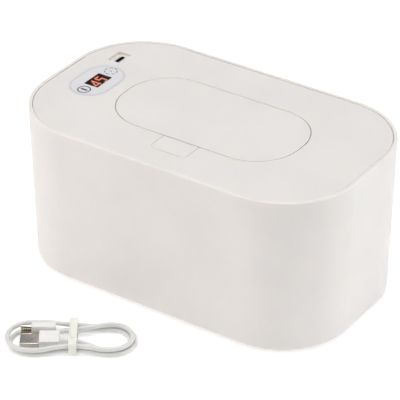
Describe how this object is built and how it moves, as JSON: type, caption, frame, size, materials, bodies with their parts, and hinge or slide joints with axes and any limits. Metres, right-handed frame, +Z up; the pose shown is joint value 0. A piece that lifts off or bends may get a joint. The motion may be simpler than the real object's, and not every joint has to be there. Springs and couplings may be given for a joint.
{
  "type": "baby wipe warmer",
  "caption": "Rounded table-top wipe warmer with a lift-off heated cover, oval flip lid, press tab, digital display, charging socket and a tied USB cable.",
  "frame": {"origin": "middle of the case in plan, on the surface that the feet stand on", "axes": "+X along the length, away from the display; +Y to the back, away from the press tab; +Z up"},
  "size_m": [0.225, 0.2148, 0.1062],
  "materials": {
    "case_plastic": "satin moulded ABS, ivory",
    "inner_plastic": "moulded polypropylene, white",
    "foam": "closed-cell insulating foam, pale grey",
    "silicone": "moulded silicone, pale grey",
    "foot_rubber": "moulded rubber, grey",
    "heater_aluminium": "rolled aluminium sheet",
    "heater_film": "polyimide film with an etched track",
    "steel": "zinc-plated steel",
    "plated_steel": "nickel-plated sheet steel",
    "sensor_epoxy": "epoxy-dipped bead",
    "fuse_case": "tinned metal case",
    "lead_red": "PVC-covered wire",
    "lead_black": "PVC-covered wire",
    "circuit_board": "glass-epoxy board with solder mask",
    "component_plastic": "moulded component housings",
    "overlay_film": "printed polycarbonate film",
    "display_lens": "dark tinted acrylic",
    "display_body": "moulded black plastic",
    "lit_segment": "lit epoxy segment",
    "cable_jacket": "extruded PVC jacket, white",
    "plug_plastic": "overmoulded PVC, white",
    "tie_plastic": "soft moulded polyethylene, ivory"
  },
  "bodies": {
    "case": {"outer_shell": "case_plastic", "insulation_wrap": "foam", "insulation_pad": "foam", "inner_tub": "inner_plastic", "rubber_feet": "foot_rubber", "usb_cable": "cable_jacket", "usb_a_grip": "plug_plastic", "usb_a_shell": "plated_steel", "usb_c_grip": "plug_plastic", "usb_c_shell": "plated_steel", "cable_tie": "tie_plastic"},
    "top_cover": {"cover_panel": "case_plastic", "cover_liner": "inner_plastic", "cover_gasket": "silicone", "wipe_outlet": "silicone", "heater_plate": "heater_aluminium", "heating_film": "heater_film", "heater_insulation": "foam", "thermistor": "sensor_epoxy", "thermal_fuse": "fuse_case", "heater_screws": "steel", "heater_leads": "lead_red", "sensor_leads": "lead_black", "control_overlay": "overlay_film", "display_window": "display_lens", "display_module": "display_body", "display_digits": "lit_segment", "control_board": "circuit_board", "board_parts": "component_plastic", "board_screws": "steel", "touch_springs": "steel", "usb_c_socket": "plated_steel", "cover_screws": "steel", "hinge_pin": "steel", "lid_springs": "steel", "button_spring": "steel"},
    "flip_lid": {"lid_cap": "case_plastic", "lid_liner": "inner_plastic", "lid_seal": "silicone"},
    "release_button": {"release_button": "case_plastic"}
  },
  "joints": [
    {"name": "cover_lift", "type": "slide", "parent": "case", "child": "top_cover", "axis": [0, 0, 1], "range_m": [0, 0.06]},
    {"name": "lid_hinge", "type": "hinge", "parent": "top_cover", "child": "flip_lid", "pos_m": [0.001, 0.0416, 0.1016], "axis": [-1, 0, 0], "range_deg": [0, 95]},
    {"name": "button_press", "type": "slide", "parent": "top_cover", "child": "release_button", "axis": [0, 0, -1], "range_m": [0, 0.0018], "stiffness_N_per_m": 600, "deforming": ["button_spring"]}
  ]
}
